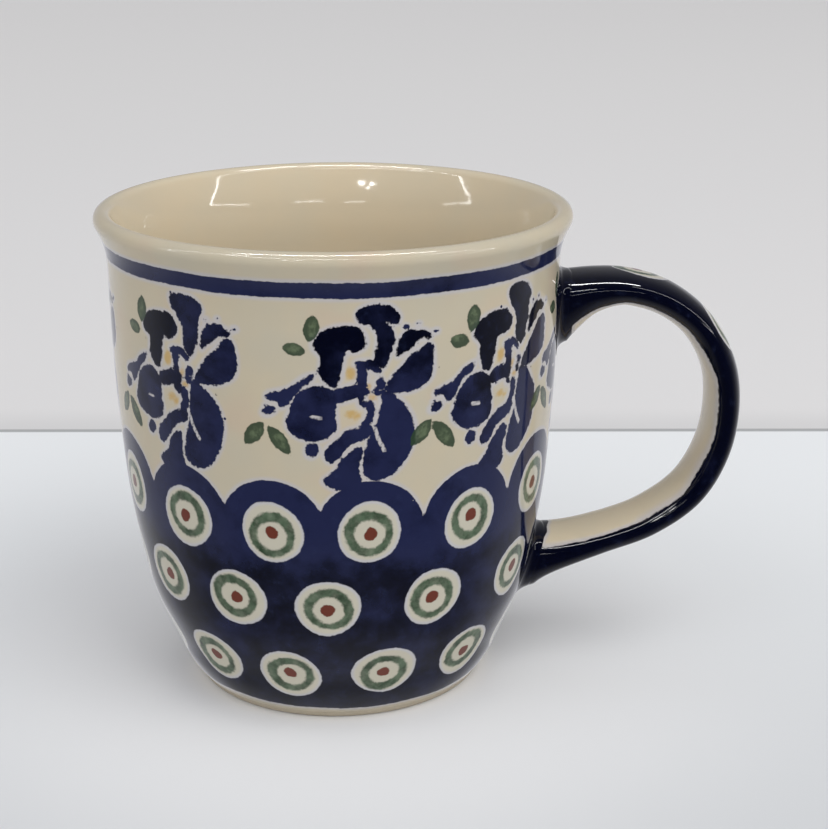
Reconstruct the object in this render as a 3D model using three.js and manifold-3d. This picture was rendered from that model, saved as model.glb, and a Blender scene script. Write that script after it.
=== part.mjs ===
// A hand-decorated stoneware mug: a cup with a rolled lip and a turned foot, a strap handle
// that springs from the wall and returns to it, and the two slip joints that hold it on.
// Millimetres, +Z up. The foot stands on z = 0 and the handle points along +X.
// The origin is the middle of the footprint of cup and handle together.
import * as THREE from "three";
import { mergeVertices } from "three/addons/utils/BufferGeometryUtils.js";
import Module from "manifold-3d";

// Cup
const RIM_RADIUS = 46;
const HEIGHT = 95.2;
const LIP_RADIUS = 1.8;
// The rolled edge's round starts a little below its middle outside, and ends inside where it
// runs smoothly on into the flared neck, in degrees from straight out.
const LIP_START = -18;
const LIP_END = 162;
const LIP_STEP = 18;
const WALL = 4;
// Inner side of the neck under the lip, as height above the table and radius.
const NECK = [
  [91.4, 41.55],
  [89, 40.75],
  [86.4, 40.2],
];
const NECK_FOOT = 82;
const FOOT_RADIUS = 28.2;
const FOOT_WIDTH = 3.6;
const RECESS_DEPTH = 1.2;
const FLOOR_HEIGHT = 6.8;
// The inside turns from the wall to the floor in a curve that starts this far above the
// floor and reaches it this far in from the wall, past a corner that it never touches.
const CORNER_RISE = 6;
const CORNER_RUN = 12;
const CORNER_INSET = 3.2;
// Outer wall from the foot to the lip, as height above the table and radius.
const WALL_TOP = 92;
const OUTER_WALL = [
  [1.5, 29],
  [6, 31.8],
  [15, 35.7],
  [30, 39.8],
  [50, 42.3],
  [70, 43.4],
  [87, 43.85],
  [WALL_TOP, 45.5],
];
const WALL_STEPS = 20;
const CORNER_STEPS = 5;
const CUP_SIDES = 64;

// Handle: a strap with rounded edges, thicker where it leaves and meets the wall.
const HANDLE_WIDTH = 15;
const STRAP_THICKNESS = 6.7;
const ROOT_THICKNESS = 11;
// The distance from the wall over which the thickening falls off.
const FLARE_LENGTH = 3.6;
// How much further the strap's inner side swells at a root, and along how much of the strap.
const UPPER_SWELL = { height: 4, length: 14 };
const LOWER_SWELL = { height: 3, length: 18 };
const SWELL_POWER = 1.4;
// How far the strap's route runs on inside the wall, where it is cut away.
const ROOT_INSET = 5.5;
const SECTION_SQUARENESS = 2.2;
const SECTION_SIDES = 24;
const HANDLE_STEPS = 36;
// Middle of the strap, as distance from the cup's axis and height, from the upper root round.
const HANDLE_ROUTE = [
  [38, 75.1],
  [44, 76.5],
  [50.5, 77.9],
  [57.5, 77.8],
  [65.4, 75.1],
  [72, 69.6],
  [76.7, 60],
  [76.6, 47.1],
  [71.6, 36.3],
  [63, 29.7],
  [53.1, 26],
  [44.3, 23],
  [33, 19.8],
];

// Slip joints: the luting clay between the wall and each end of the strap.
const FIT_GAP = 0.3;
const SLIP_THICKNESS = 0.8;
const SLIP_BEAD = 1.1;
const BEAD_HEIGHT = 2.2;
// The stretches of the strap's route that the two joints are cut from.
const UPPER_STRETCH = [0, 0.3];
const LOWER_STRETCH = [0.7, 1];

const GLAZE_CREAM = 0xd9d2bd;
const GLAZE_COBALT = 0x14153a;
const SLIP_COBALT = 0x101130;
const GLAZE_ROUGHNESS = 0.12;

const wasm = await Module();
wasm.setup();

// A closed geometry as a solid that can be joined and cut.
function solidFrom(geometry) {
  const bare = geometry.clone();
  bare.deleteAttribute("normal");
  bare.deleteAttribute("uv");
  const merged = mergeVertices(bare, 1e-4);
  const corners = merged.index.array;
  const kept = [];
  for (let i = 0; i < corners.length; i += 3) {
    const [a, b, c] = corners.slice(i, i + 3);
    if (a !== b && b !== c && c !== a) kept.push(a, b, c);
  }
  return new wasm.Manifold(
    new wasm.Mesh({
      numProp: 3,
      vertProperties: merged.attributes.position.array,
      triVerts: new Uint32Array(kept),
    }),
  );
}

function geometryFrom(solid) {
  const { vertProperties, triVerts } = solid.getMesh();
  const geometry = new THREE.BufferGeometry();
  geometry.setAttribute("position", new THREE.BufferAttribute(vertProperties, 3));
  geometry.setIndex(new THREE.BufferAttribute(triVerts, 1));
  geometry.computeVertexNormals();
  return geometry;
}

// A closed profile of (radius, height) points turned about +Z.
function turned(points) {
  const geometry = new THREE.LatheGeometry(points, CUP_SIDES);
  geometry.rotateX(Math.PI / 2);
  return geometry;
}

// Smooth line through (height, radius) pairs, as (radius, height) points going up.
function wallLine(pairs, steps) {
  const through = pairs.map(([height, radius]) => new THREE.Vector2(radius, height));
  return new THREE.SplineCurve(through).getPoints(steps);
}

// The line moved sideways by a distance, towards the outside when it is positive.
function offsetLine(points, distance) {
  return points.map((point, i) => {
    const before = points[Math.max(i - 1, 0)];
    const after = points[Math.min(i + 1, points.length - 1)];
    const along = after.clone().sub(before).normalize();
    return new THREE.Vector2(point.x + along.y * distance, point.y - along.x * distance);
  });
}

const outerLine = wallLine(OUTER_WALL, WALL_STEPS);

// The lip's rolled edge, from the outer wall over the top to the neck.
function lipArc() {
  const middle = new THREE.Vector2(RIM_RADIUS - LIP_RADIUS, HEIGHT - LIP_RADIUS);
  const arc = [];
  for (let degrees = LIP_START; degrees <= LIP_END; degrees += LIP_STEP) {
    const angle = THREE.MathUtils.degToRad(degrees);
    arc.push(
      new THREE.Vector2(
        middle.x + LIP_RADIUS * Math.cos(angle),
        middle.y + LIP_RADIUS * Math.sin(angle),
      ),
    );
  }
  return arc;
}

// The inside of the cup, from under the lip down the wall and round to the floor.
function insideLine() {
  const neck = NECK.map(([height, radius]) => new THREE.Vector2(radius, height));
  const wall = offsetLine(outerLine, -WALL)
    .filter((point) => point.y > FLOOR_HEIGHT + CORNER_RISE && point.y < NECK_FOOT)
    .reverse();
  const lowest = wall[wall.length - 1];
  const corner = new THREE.QuadraticBezierCurve(
    lowest,
    new THREE.Vector2(lowest.x - CORNER_INSET, FLOOR_HEIGHT),
    new THREE.Vector2(lowest.x - CORNER_RUN, FLOOR_HEIGHT),
  );
  return [...neck, ...wall, ...corner.getPoints(CORNER_STEPS).slice(1)];
}

function cupGeometry() {
  const ringInside = FOOT_RADIUS - FOOT_WIDTH;
  return turned([
    new THREE.Vector2(0, RECESS_DEPTH),
    new THREE.Vector2(ringInside - RECESS_DEPTH, RECESS_DEPTH),
    new THREE.Vector2(ringInside, 0),
    new THREE.Vector2(FOOT_RADIUS, 0),
    ...outerLine,
    ...lipArc(),
    ...insideLine(),
    new THREE.Vector2(0, FLOOR_HEIGHT),
  ]);
}

// Everything within a distance of the outer wall, used to cut what stands against it.
function wallEnvelope(distance) {
  const line = offsetLine(outerLine, distance);
  return solidFrom(
    turned([
      new THREE.Vector2(0, -distance),
      new THREE.Vector2(line[0].x, -distance),
      ...line,
      new THREE.Vector2(0, line[line.length - 1].y),
    ]),
  );
}

const route = new THREE.CatmullRomCurve3(
  HANDLE_ROUTE.map(([x, z]) => new THREE.Vector3(x, 0, z)),
  false,
  "centripetal",
);

// Half the strap's thickness on its outer and its inner side, at a fraction of its length.
function halfThicknesses(t) {
  const length = route.getLength();
  const fromUpper = Math.max(t * length - ROOT_INSET, 0);
  const fromLower = Math.max((1 - t) * length - ROOT_INSET, 0);
  const flare = Math.exp(-Math.min(fromUpper, fromLower) / FLARE_LENGTH);
  const outer = (STRAP_THICKNESS + (ROOT_THICKNESS - STRAP_THICKNESS) * flare) / 2;
  const swell = (distance, { height, length: reach }) =>
    height * Math.max(1 - distance / reach, 0) ** SWELL_POWER;
  return [outer, outer + swell(fromUpper, UPPER_SWELL) + swell(fromLower, LOWER_SWELL)];
}

// The strap as a skin over rounded sections along the route, with the sections grown by a
// margin all round and kept between two stretches of the route's length.
function strap(margin = 0, from = 0, to = 1) {
  const positions = [];
  for (let i = 0; i <= HANDLE_STEPS; i++) {
    const t = from + ((to - from) * i) / HANDLE_STEPS;
    const middle = route.getPointAt(t);
    const along = route.getTangentAt(t);
    const outward = new THREE.Vector3(-along.z, 0, along.x);
    const [outerHalf, innerHalf] = halfThicknesses(t).map((half) => half + margin);
    const halfWidth = HANDLE_WIDTH / 2 + margin;
    for (let j = 0; j < SECTION_SIDES; j++) {
      const angle = (2 * Math.PI * j) / SECTION_SIDES;
      const [cosine, sine] = [Math.cos(angle), Math.sin(angle)];
      const power = 2 / SECTION_SQUARENESS;
      const half = cosine > 0 ? outerHalf : -innerHalf;
      const out = half * Math.abs(cosine) ** power;
      const side = Math.sign(sine) * Math.abs(sine) ** power * halfWidth;
      positions.push(middle.x + outward.x * out, side, middle.z + outward.z * out);
    }
  }
  const faces = [];
  for (let i = 0; i < HANDLE_STEPS; i++) {
    for (let j = 0; j < SECTION_SIDES; j++) {
      const next = (j + 1) % SECTION_SIDES;
      const a = i * SECTION_SIDES + j;
      const b = i * SECTION_SIDES + next;
      faces.push(a, a + SECTION_SIDES, b);
      faces.push(b, a + SECTION_SIDES, b + SECTION_SIDES);
    }
  }
  const end = HANDLE_STEPS * SECTION_SIDES;
  for (let j = 1; j < SECTION_SIDES - 1; j++) {
    faces.push(0, j, j + 1);
    faces.push(end, end + j + 1, end + j);
  }
  const geometry = new THREE.BufferGeometry();
  geometry.setAttribute("position", new THREE.Float32BufferAttribute(positions, 3));
  geometry.setIndex(faces);
  return solidFrom(geometry);
}

const jointDepth = FIT_GAP + SLIP_THICKNESS + FIT_GAP;

function handleSolid() {
  return strap().subtract(wallEnvelope(jointDepth));
}

// A pad of slip against the wall with a bead squeezed out round the strap.
function slipSolid(from, to) {
  const bead = strap(SLIP_BEAD, from, to).intersect(wallEnvelope(BEAD_HEIGHT));
  const socket = strap(FIT_GAP).subtract(wallEnvelope(FIT_GAP + SLIP_THICKNESS));
  return bead.subtract(wallEnvelope(FIT_GAP)).subtract(socket);
}

function glazedMesh(name, geometry, color) {
  const material = new THREE.MeshStandardMaterial({
    color,
    roughness: GLAZE_ROUGHNESS,
    metalness: 0,
  });
  const mesh = new THREE.Mesh(geometry, material);
  mesh.name = name;
  return mesh;
}

const mug = new THREE.Group();
mug.add(glazedMesh("cup_body", cupGeometry(), GLAZE_CREAM));
const handle = glazedMesh("handle", geometryFrom(handleSolid()), GLAZE_COBALT);
mug.add(handle);
mug.add(glazedMesh("upper_slip_joint", geometryFrom(slipSolid(...UPPER_STRETCH)), SLIP_COBALT));
mug.add(glazedMesh("lower_slip_joint", geometryFrom(slipSolid(...LOWER_STRETCH)), SLIP_COBALT));

// The cup's axis stands back from the origin by half of what the handle adds to the length.
handle.geometry.computeBoundingBox();
const reach = handle.geometry.boundingBox.max.x;
mug.position.x = (RIM_RADIUS - reach) / 2;

export default mug;
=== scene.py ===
"""A hand-decorated stoneware mug on a pale table, built round its CAD frame.

Shapes are worked out in millimetres about the cup's own axis, with +X towards the handle, and
moved into the frame in metres when a mesh is made. The painted decoration is stored on the
vertices as distances in millimetres from the edge of each motif, positive inside it, and the
glaze turns those distances into colour.
"""
import math

import bpy
import numpy as np
from mathutils import Matrix, Vector


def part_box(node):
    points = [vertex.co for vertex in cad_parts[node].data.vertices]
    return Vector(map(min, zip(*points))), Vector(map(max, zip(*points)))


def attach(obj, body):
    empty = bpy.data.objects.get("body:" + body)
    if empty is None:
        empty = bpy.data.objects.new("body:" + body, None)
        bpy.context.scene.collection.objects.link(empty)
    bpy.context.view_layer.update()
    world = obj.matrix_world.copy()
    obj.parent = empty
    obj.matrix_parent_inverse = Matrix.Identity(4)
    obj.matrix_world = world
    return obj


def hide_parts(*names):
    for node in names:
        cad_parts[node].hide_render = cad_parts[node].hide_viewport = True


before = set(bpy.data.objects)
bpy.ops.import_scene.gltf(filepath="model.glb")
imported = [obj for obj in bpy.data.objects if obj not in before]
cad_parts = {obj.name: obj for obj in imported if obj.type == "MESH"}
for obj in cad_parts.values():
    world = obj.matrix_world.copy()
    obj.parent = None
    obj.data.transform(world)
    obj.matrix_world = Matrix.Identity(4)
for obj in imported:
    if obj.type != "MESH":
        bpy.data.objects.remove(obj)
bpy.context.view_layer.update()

cup_low, cup_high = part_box("cup_body")
AXIS = np.array([(cup_low[0] + cup_high[0]) / 2, (cup_low[1] + cup_high[1]) / 2, 0.0])
MM = 0.001
FAR = 3.0

# Cup: outer wall as (height, radius), from the foot to where the lip begins to roll.
WALL_LINE = [
    (1.5, 28.9), (3.2, 30.2), (6.1, 31.85), (10.1, 33.5), (15.1, 35.7), (20.2, 37.6),
    (30.3, 39.85), (40.4, 41.45), (50.5, 42.35), (60.6, 43.05), (70.7, 43.4), (78.7, 43.6),
    (84.8, 43.7), (87.8, 43.95), (90.3, 44.75), (92.0, 45.5),
]
RIM_RADIUS = 45.98
HEIGHT = 95.18
LIP_RADIUS = 1.8
WALL = 4.0
FOOT_RADIUS = 28.2
FOOT_WIDTH = 3.4
RECESS = 1.2
FLOOR_HEIGHT = 6.8
AROUND = 480
UP = 162

# Handle: middle of the strap as (distance from the axis, height), from the upper root round.
ROUTE = [
    (38, 75.1), (44, 76.5), (50.5, 77.9), (57.5, 77.8), (65.4, 75.1), (72, 69.6),
    (76.7, 60), (76.6, 47.1), (71.6, 36.3), (63, 29.7), (53.1, 26.0), (44.3, 23.0), (33, 19.8),
]
STRAP_WIDTH = 15
STRAP_THICKNESS = 6.6
ROOT_THICKNESS = 11.0
FLARE_LENGTH = 3.6
# How much further the strap's inner side swells at each root, and how far along the strap.
UPPER_SWELL = (4.0, 14.0)
LOWER_SWELL = (3.0, 18.0)
SWELL_POWER = 1.4
SQUARENESS = 2.2
SECTION_SIDES = 96
STRAP_STEPS = 240
SUNK_IN_WALL = 1.2

# Where the decoration is set out from: the middle of the front, as an angle about the axis,
# and the radius at which distances round the cup are measured.
FRONT = math.radians(-91.07)
PATTERN_RADIUS = 43.0
TURN = 2 * math.pi * PATTERN_RADIUS

random = np.random.default_rng(7)


# ---------------------------------------------------------------- curves and distances

def spline(points, steps, closed=False):
    """Centripetal Catmull-Rom curve through the points, with the steps between each two."""
    points = np.asarray(points, float)
    if closed:
        points = np.vstack([points[-1], points, points[0], points[1]])
    else:
        points = np.vstack([2 * points[0] - points[1], points, 2 * points[-1] - points[-2]])
    out = []
    for i in range(1, len(points) - 2):
        p = points[i - 1:i + 3]
        knots = np.concatenate([[0], np.cumsum(np.linalg.norm(np.diff(p, axis=0), axis=1) ** 0.5)])
        t = np.linspace(knots[1], knots[2], steps, endpoint=False)[:, None]
        a = [
            (knots[k + 1] - t) / (knots[k + 1] - knots[k]) * p[k]
            + (t - knots[k]) / (knots[k + 1] - knots[k]) * p[k + 1]
            for k in range(3)
        ]
        b = [
            (knots[k + 2] - t) / (knots[k + 2] - knots[k]) * a[k]
            + (t - knots[k]) / (knots[k + 2] - knots[k]) * a[k + 1]
            for k in range(2)
        ]
        out.append((knots[2] - t) / (knots[2] - knots[1]) * b[0]
                   + (t - knots[1]) / (knots[2] - knots[1]) * b[1])
    if not closed:
        out.append(points[-2][None])
    return np.vstack(out)


def evenly(points, count):
    """The polyline resampled at equal distances."""
    run = np.concatenate([[0], np.cumsum(np.linalg.norm(np.diff(points, axis=0), axis=1))])
    at = np.linspace(0, run[-1], count)
    return np.stack([np.interp(at, run, points[:, k]) for k in range(points.shape[1])], 1)


def in_outline(points, outline):
    """Distance from the edge of a closed outline, positive inside."""
    start = outline
    edge = np.roll(outline, -1, axis=0) - start
    offset = points[:, None, :] - start[None]
    along = np.clip((offset * edge).sum(-1) / (edge ** 2).sum(-1), 0, 1)
    gap = np.linalg.norm(offset - along[..., None] * edge, axis=-1).min(1)
    low = start[:, 1] > points[:, None, 1]
    high = (start + edge)[:, 1] > points[:, None, 1]
    slope = edge[:, 0] / np.where(edge[:, 1] == 0, 1e-9, edge[:, 1])
    left = points[:, None, 0] < start[:, 0] + slope * (points[:, None, 1] - start[:, 1])
    inside = ((low != high) & left).sum(1) % 2 == 1
    return np.where(inside, gap, -gap)


def in_stroke(points, line, width):
    """Distance from the edge of a brush stroke with round ends, positive inside."""
    line = np.asarray(line, float)
    best = np.full(len(points), 1e3)
    for a, b in zip(line[:-1], line[1:]):
        edge = b - a
        along = np.clip(((points - a) @ edge) / (edge @ edge), 0, 1)
        best = np.minimum(best, np.linalg.norm(points - a - along[:, None] * edge, axis=1))
    return width / 2 - best


def in_oval(points, middle, length, width, degrees=0.0):
    """Near enough the distance from the edge of an ellipse, positive inside."""
    angle = math.radians(degrees)
    offset = points - np.asarray(middle, float)
    along = offset @ np.array([math.cos(angle), math.sin(angle)])
    across = offset @ np.array([-math.sin(angle), math.cos(angle)])
    reach = np.hypot(along / (length / 2), across / (width / 2))
    return (1 - reach) * width / 2 * np.where(reach > 1, 1.3, 1.0)


def in_leaf(points, stem, tip, width):
    """Distance from the edge of a pointed leaf between two points, positive inside."""
    stem, tip = np.asarray(stem, float), np.asarray(tip, float)
    half = np.linalg.norm(tip - stem) / 2
    along = (tip - stem) / (2 * half)
    offset = points - (stem + tip) / 2
    x = offset @ along
    y = offset @ np.array([-along[1], along[0]])
    radius = (half ** 2 + (width / 2) ** 2) / width
    drop = radius - width / 2
    return radius - np.hypot(x, np.abs(y) + drop)


# ---------------------------------------------------------------- decoration

CHANNELS = (
    "petal_a", "petal_b", "petal_c", "field", "cut", "leaf", "leaf_dark", "disc", "ring",
    "dot", "ochre", "dense", "inside", "bare",
)


class Paint:
    """The decoration's channels for a set of points."""

    def __init__(self, count):
        self.of = {name: np.full(count, -FAR) for name in CHANNELS}
        for name in ("dense", "inside", "bare"):
            self.of[name] = np.zeros(count)

    def add(self, name, where, distance):
        kept = np.clip(distance, -FAR, FAR)
        self.of[name][where] = np.maximum(self.of[name][where], kept)


# One blossom, about its heart, as (across, up) in millimetres. Petals that touch are in
# different layers, so that the thin gaps between them stay open.
BLOSSOM = {
    "petal_a": [
        [(-5.4, 15), (-2, 16), (1.2, 15.6), (2.5, 13.6), (1.9, 12), (0.2, 11.2), (-1.1, 11.5),
         (-1.5, 9.2), (-2, 6.8), (-3, 4.9), (-4.6, 5.6), (-5.6, 7.9), (-5.4, 10.2), (-6.9, 11.9),
         (-6.9, 13.3)],
        [(14, 12.4), (14.8, 9.4), (14.4, 6.2), (12, 4.3), (8.8, 3.6), (5.8, 3.9), (6.6, 5.9),
         (8.6, 8.4), (10.5, 10.6), (12, 12)],
        [(1.4, -6.1), (2.1, -7), (1.7, -10.4), (1.9, -13.4), (-0.8, -14.7), (-3.6, -13.9),
         (-4.8, -12.6), (-2.8, -10.5), (-1.1, -7.9)],
        [(-6.6, 7.1), (-6.9, 5.9), (-8.6, 4.6), (-10.1, 2.9), (-11.3, 1.2), (-12.4, 0.7),
         (-13.1, 1.7), (-15, 2), (-14.8, 3.1), (-11, 4.6), (-8.6, 6.6)],
    ],
    "petal_b": [
        [(5.4, 4.4), (8.2, 3), (10.9, -0.4), (11.8, -4), (10.5, -8), (7.8, -11.4), (4.6, -12.7),
         (2.4, -10.8), (2.8, -6.7), (4.1, -2.6), (4.8, 1)],
        [(-6, 5.2), (-3.7, 4.7), (-2.5, 3), (-2.7, 0.9), (-2.4, -1.2), (-2.5, -3.4),
         (-5.4, -5.2), (-9, -4.6), (-11.4, -2.6), (-10.7, 0.6), (-8.8, 3.9)],
    ],
    "petal_c": [
        [(7.9, 10.2), (8, 12.8), (9.2, 14.7), (11.2, 15.2), (13.2, 14.7), (14, 13.5),
         (13.2, 12.9), (12, 13.1), (10.6, 12), (9.2, 10.9)],
        [(3.9, -2.3), (3.5, -3.8), (1.4, -4.9), (-0.3, -5.7), (-1.7, -8), (-3.5, -9.3),
         (-4.6, -8), (-4.1, -6.2), (-2.4, -4.4), (-0.9, -3), (1.2, -2.4), (2.6, -1.9)],
    ],
}
# The uppermost petal is a fan on most blossoms and a narrow-stemmed cap on some.
FAN = [
    (1.2, 19), (4, 20), (7.2, 19.4), (8.7, 17.4), (7.6, 15.2), (7.4, 12.6), (5.5, 8.2),
    (3.7, 10), (4.2, 13.8), (2.3, 16),
]
CAP = [
    (0.4, 18.4), (2, 19.6), (4.2, 20.2), (6.8, 19.3), (8.1, 17.6), (7.9, 16.4), (6, 16.9),
    (6.9, 14.8), (7.3, 12.4), (6, 9.8), (5.1, 8), (3.9, 9.6), (4.1, 12), (4, 14.6), (2.8, 16.2),
    (1.3, 16.3),
]
FILAMENTS = [
    ([(1.1, 9.2), (3.2, 9.2), (4.5, 8.1)], 1.3),
    ([(1.6, 9), (1.8, 6), (1.6, 4.4)], 1.7),
    ([(-1.9, 3.5), (0.2, 4.1), (1.6, 4.2)], 2.9),
    ([(1.3, 4), (2, 2)], 1.5),
    ([(3.3, 1.8), (3.6, 0.4), (3.2, -1), (2.4, -2.2)], 1.5),
    ([(4.9, 5.8), (5.1, 5.4)], 1.4),
    ([(4.4, 4.2), (4.7, 3.9)], 1.3),
]
SLITS = [
    ([(4.2, -2.4), (4.9, -4.6), (6.1, -6.9)], 0.7),
    ([(-6.9, -0.6), (-5.3, -0.8)], 0.65),
]
OCHRE = [
    ((-0.2, 7.4), 2.5, 1.8, 80), ((2.7, 4.9), 1.8, 1.2, 60), ((3.7, 3.1), 1.5, 1.2, 0),
    ((0, 0.1), 1.9, 1.3, 8), ((1.1, -0.4), 1.2, 0.9, 40),
]
# How deep the cobalt lies on each petal, the uppermost one last in its layer.
DEPTHS = {
    "petal_a": [0.95, 0.4, 0.12, 0.1], "petal_b": [0.06, 0.2, 0.8], "petal_c": [0.9, 0.2],
}
# Where the brush went over twice, as (middle, radius).
OVERLAPS = [((-4.4, 4.2), 2.9), ((0.6, 4.1), 2.8), ((6, 11.5), 3.6)]
SPECKS = [
    ((-14.5, 0), 2.7, 1.8, 25), ((-6.8, -6.9), 2.9, 2.4, 70), ((-14.9, 1), 0.9, 0.7, 0),
    ((9.2, 15.7), 1, 0.8, 0), ((14.9, 14.5), 1.1, 0.9, 0), ((11.6, 16.1), 0.7, 0.6, 0),
]
LEAVES = [
    ((-7.5, 12.8), (-6.8, 17.9), 2.8), ((-7.9, 11.2), (-12.2, 11.9), 2.5),
    ((-15.4, -2.2), (-19.2, -6.8), 2.8), ((-14.9, -2.6), (-10.5, -8.2), 2.9),
]
HEART = [
    (-2.5, 0.7), (-1.1, 0.9), (0, 1.9), (0.8, 0.8), (2.3, 0.5), (1.3, -0.5), (1.1, -1.6),
    (-0.5, -1), (-2.1, -1.4), (-1.4, -0.2),
]
# Every third blossom is a capped one, and this is the first of them.
CAPPED = 2
BLOSSOM_AT = [-69, -32.5, 2.5, 32.5, 62, 96.8, 131.6, 166.4]
BLOSSOM_HEIGHT = 66.0

# Rows of eyes: distances round the cup. Where the wall is narrower than where the distances
# are measured, its radius there. The usual height of each row, and the eyes that differ.
TOP_ROW = [-51, -31.5, -12.5, 6, 26.5, 47] + [47 + 19.13 * k for k in range(1, 9)]
MIDDLE_ROW = [-41, -21.5, -2, 19.5, 43] + [43 + 18.6 * k for k in range(1, 10)]
BOTTOM_ROW = [-32.5, -12, 10.5, 32.5] + [32.5 + 22.8 * k for k in range(1, 9)]
MIDDLE_RADIUS = 39.3
BOTTOM_RADIUS = 34.4
TOP_HEIGHT = 43.1
MIDDLE_HEIGHT = 27.8
BOTTOM_HEIGHT = 12
TOP_HEIGHTS = {0: 44.6, 5: 44.5}
MIDDLE_HEIGHTS = {0: 28.6, 1: 28.2, 2: 27.2}
EYE_RADIUS = 6.02
RING_RADIUS = 3.72
RING_HALF_WIDTH = 0.85
DOT_RADIUS = 1.3
SCALLOP_RADIUS = 10.3
FIELD_TOP = 44.6
FIELD_BOTTOM = 2.9
BAND = (87.0, 89.95)


def round_cup(across, middle):
    """Distance round the cup from a motif's middle, the short way."""
    return (across - middle + TURN / 2) % TURN - TURN / 2


def paint_eye(paint, where, offset, size=1.0):
    """A pale disc with a green ring and a brick-red dot, a little out of true."""
    shift = random.normal(0, 0.22, (3, 2))
    squash = 1 + random.normal(0, 0.02)

    def reach(k):
        return np.hypot((offset[:, 0] - shift[k, 0]) * squash, offset[:, 1] - shift[k, 1])

    angle = np.arctan2(offset[:, 1], offset[:, 0])
    phase = random.uniform(0, 2 * math.pi, 3)
    lumps = 0.13 * np.sin(2 * angle + phase[0]) + 0.1 * np.sin(3 * angle + phase[1])
    paint.add("disc", where, EYE_RADIUS * size - reach(0) + lumps)
    ring_half = RING_HALF_WIDTH * size + 0.12 * np.sin(angle + phase[2])
    paint.add("ring", where, ring_half - np.abs(reach(1) - RING_RADIUS * size + lumps * 0.5))
    dot = np.hypot(offset[:, 0] - shift[2, 0] - shift[0, 0], offset[:, 1] - shift[2, 1])
    paint.add("dot", where, DOT_RADIUS * size - dot + lumps * 0.6)


def paint_blossom(paint, across, up, middle, capped):
    """One blossom with its leaves, each a little different from the next."""
    x = round_cup(across, middle)
    where = np.where((np.abs(x) < 24) & (up > 46) & (up < 90))[0]
    points = np.stack([x[where], up[where] - BLOSSOM_HEIGHT], 1)
    lean = random.normal(0, 0.02)
    points = points @ np.array([[1, lean], [-lean, 1]])
    dark = np.zeros(len(where))
    for layer, petals in BLOSSOM.items():
        crown = [CAP if capped else FAN] if layer == "petal_b" else []
        for petal, depth in zip(petals + crown, DEPTHS[layer]):
            moved = np.array(petal) + random.normal(0, 0.12, (len(petal), 2))
            gap = in_outline(points, spline(moved, 5, closed=True))
            paint.add(layer, where, gap)
            depth *= random.uniform(0.6, 1.1)
            dark = np.maximum(dark, depth * np.clip(gap * 2 + 1, 0, 1))
    for line, width in FILAMENTS:
        paint.add("petal_c", where, in_stroke(points, line, width * random.uniform(0.9, 1.1)))
    for spot, length, width, degrees in SPECKS:
        paint.add("petal_c", where, in_oval(points, spot, length, width, degrees))
    for line, width in SLITS:
        paint.add("cut", where, in_stroke(points, line, width * random.uniform(0.8, 1.15)))
    paint.add("cut", where, in_outline(points, np.array(HEART, float)))
    for spot, length, width, degrees in OCHRE:
        paint.add("ochre", where, in_oval(points, spot, length, width, degrees))
    for stem, tip, width in LEAVES:
        width *= random.uniform(0.92, 1.08)
        leaf = in_leaf(points, stem, tip, width)
        paint.add("leaf", where, leaf)
        middle_of = (np.array(stem) + np.array(tip)) / 2 + random.normal(0, 0.25, 2)
        turn = math.degrees(math.atan2(tip[1] - stem[1], tip[0] - stem[0]))
        paint.add("leaf_dark", where, in_oval(points, middle_of, 3, width * 0.62, turn))
    for spot, radius in OVERLAPS:
        spot = np.array(spot) + random.normal(0, 0.5, 2)
        gap = np.linalg.norm(points - spot, axis=1)
        again = np.clip((radius - gap) / 1.6 + 0.5, 0, 1) * random.uniform(0.4, 0.75)
        dark = np.maximum(dark, again)
    paint.of["dense"][where] = np.maximum(paint.of["dense"][where], dark)


def near_spot(across, up, middle, height, reach):
    """The points near a spot on the wall, and how far round the cup and up from it they are."""
    offset = np.stack([round_cup(across, middle), up - height], 1)
    near = np.where((np.abs(offset[:, 0]) < reach[0]) & (np.abs(offset[:, 1]) < reach[1]))[0]
    return near, offset[near]


def paint_wall(across, up):
    """The outer wall's decoration, from distance round the cup and height."""
    paint = Paint(len(across))
    everywhere = np.arange(len(across))
    slow = 0.18 * np.sin(across * 2 * math.pi * 3 / TURN + 1) + 0.1 * np.sin(
        across * 2 * math.pi * 11 / TURN)
    low, high = BAND
    paint.add("field", everywhere, (high - low) / 2 - np.abs(up + slow * 0.5 - (low + high) / 2))
    paint.add("field", everywhere, np.minimum(FIELD_TOP - up, up - FIELD_BOTTOM + slow))
    for k, middle in enumerate(TOP_ROW):
        height = TOP_HEIGHTS.get(k, TOP_HEIGHT + random.normal(0, 0.2))
        near, offset = near_spot(across, up, middle, height, (12, 14))
        paint.add("field", near, SCALLOP_RADIUS - np.linalg.norm(offset, axis=1))
        paint_eye(paint, near, offset)
    body = np.clip((39.5 - up) / 5, 0, 1)
    paint.of["dense"] = np.maximum(paint.of["dense"], 0.55 * body)
    for k, middle in enumerate(MIDDLE_ROW):
        height = MIDDLE_HEIGHTS.get(k, MIDDLE_HEIGHT + random.normal(0, 0.25))
        near, offset = near_spot(across, up, middle, height, (9, 9))
        paint_eye(paint, near, offset * np.array([MIDDLE_RADIUS / PATTERN_RADIUS, 1.02]))
    for middle in BOTTOM_ROW:
        height = BOTTOM_HEIGHT + random.normal(0, 0.2)
        near, offset = near_spot(across, up, middle, height, (12, 9))
        paint_eye(paint, near, offset * np.array([BOTTOM_RADIUS / PATTERN_RADIUS, 1.08]))
    for k, middle in enumerate(BLOSSOM_AT):
        paint_blossom(paint, across, up, middle, k % 3 == CAPPED)
    return paint


# ---------------------------------------------------------------- meshes

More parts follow.
